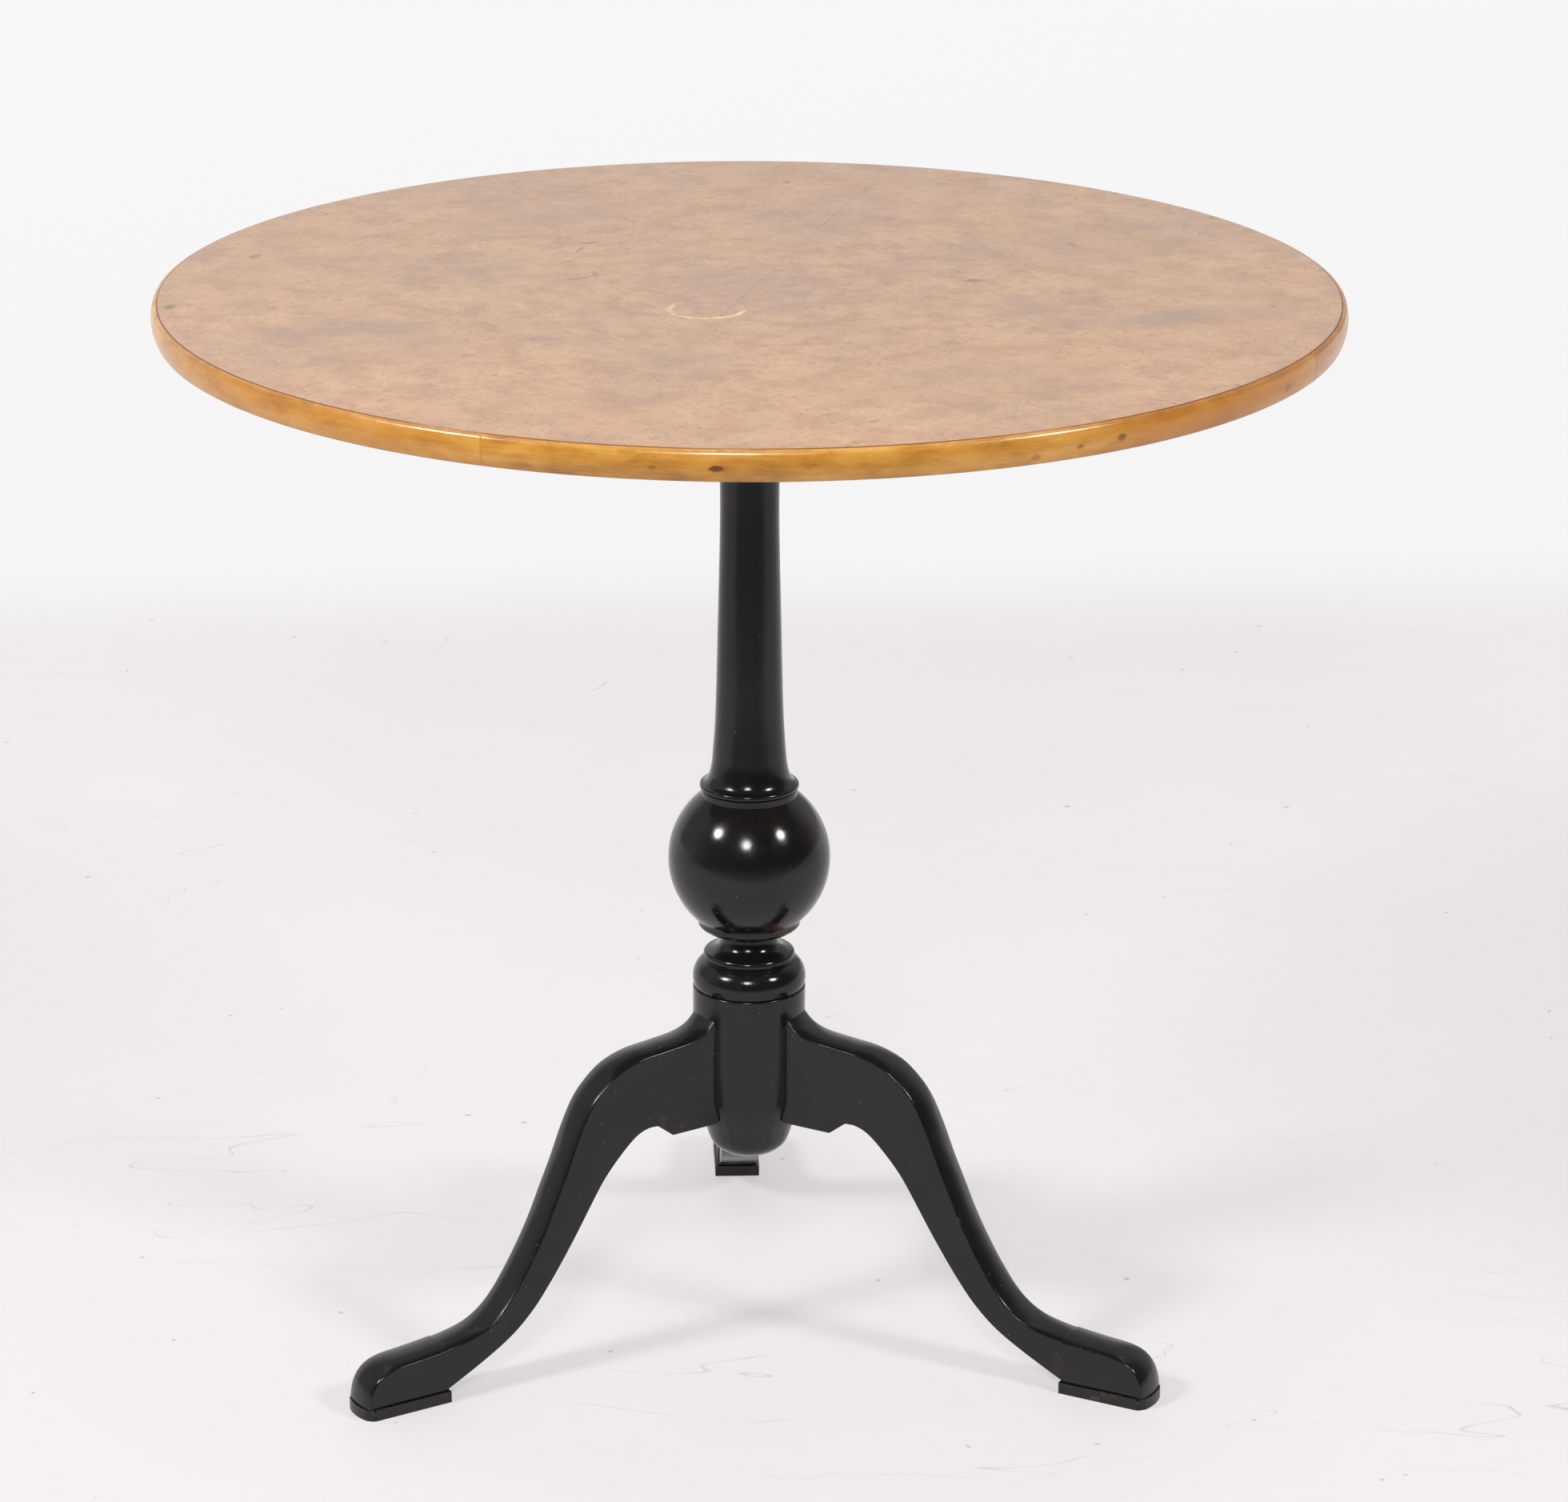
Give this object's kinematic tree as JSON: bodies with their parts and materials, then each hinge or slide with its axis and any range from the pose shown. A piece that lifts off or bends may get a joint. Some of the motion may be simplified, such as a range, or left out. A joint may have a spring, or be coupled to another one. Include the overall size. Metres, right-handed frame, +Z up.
{
  "type": "tilt top table",
  "caption": "Round tilt top pedestal table: burr veneered top with moulded edging, ebonised column with a ball turning, and splayed cabriole tripod legs.",
  "frame": {"origin": "on the floor, under the column's axis and the middle of the round top", "axes": "+Z up along the column; the single leg points to +Y and the pivot of the top runs along X at the -Y side of the block, so the top's face ends up towards -Y when it is tilted"},
  "size_m": [0.7894, 0.7894, 0.74],
  "materials": {
    "burr_veneer": "french polished burr with small dark eyes and cloudy figure",
    "birch_edging": "glossy amber birch",
    "pine": "raw, darkened by age",
    "ebonised_wood": "glossy black polish with reddish brown wear on the edges",
    "inner_wood": "raw birch",
    "brass": "aged brass",
    "iron": "dark oiled iron"
  },
  "bodies": {
    "base": {"tilt_block": "ebonised_wood", "pivot_pin_left": "iron", "pivot_pin_right": "iron", "tenon_wedge": "inner_wood", "column_shaft": "ebonised_wood", "column_ball_section": "ebonised_wood", "column_hub": "ebonised_wood", "leg_left": "ebonised_wood", "leg_right": "ebonised_wood", "leg_back": "ebonised_wood", "sole_pad_left": "ebonised_wood", "sole_pad_right": "ebonised_wood", "sole_pad_back": "ebonised_wood", "leg_dowel_left_1": "inner_wood", "leg_dowel_left_2": "inner_wood", "leg_dowel_right_1": "inner_wood", "leg_dowel_right_2": "inner_wood", "leg_dowel_back_1": "inner_wood", "leg_dowel_back_2": "inner_wood", "sole_brad_left_1": "iron", "sole_brad_left_2": "iron", "sole_brad_right_1": "iron", "sole_brad_right_2": "iron", "sole_brad_back_1": "iron", "sole_brad_back_2": "iron", "keeper_plate": "brass", "keeper_screw_1": "brass", "keeper_screw_2": "brass"},
    "top": {"veneer_leaf_1": "burr_veneer", "veneer_leaf_2": "burr_veneer", "veneer_leaf_3": "burr_veneer", "veneer_leaf_4": "burr_veneer", "veneer_leaf_5": "burr_veneer", "veneer_leaf_6": "burr_veneer", "veneer_leaf_7": "burr_veneer", "veneer_leaf_8": "burr_veneer", "top_core": "pine", "edging_1": "birch_edging", "edging_2": "birch_edging", "edging_3": "birch_edging", "edging_4": "birch_edging", "batten_left": "pine", "batten_right": "pine", "batten_screw_left_1": "iron", "batten_screw_left_2": "iron", "batten_screw_left_3": "iron", "batten_screw_right_1": "iron", "batten_screw_right_2": "iron", "batten_screw_right_3": "iron", "catch_plate": "brass", "catch_screw_1": "brass", "catch_screw_2": "brass", "catch_screw_3": "brass", "catch_screw_4": "brass"},
    "catch_bolt": {"catch_bolt": "brass"}
  },
  "joints": [
    {"name": "top_tilt", "type": "hinge", "parent": "base", "child": "top", "pos_m": [0, -0.0454, 0.702], "axis": [1, 0, 0], "range_deg": [0, 90]},
    {"name": "catch_slide", "type": "slide", "parent": "top", "child": "catch_bolt", "axis": [0, -1, 0], "range_m": [0, 0.009]}
  ]
}
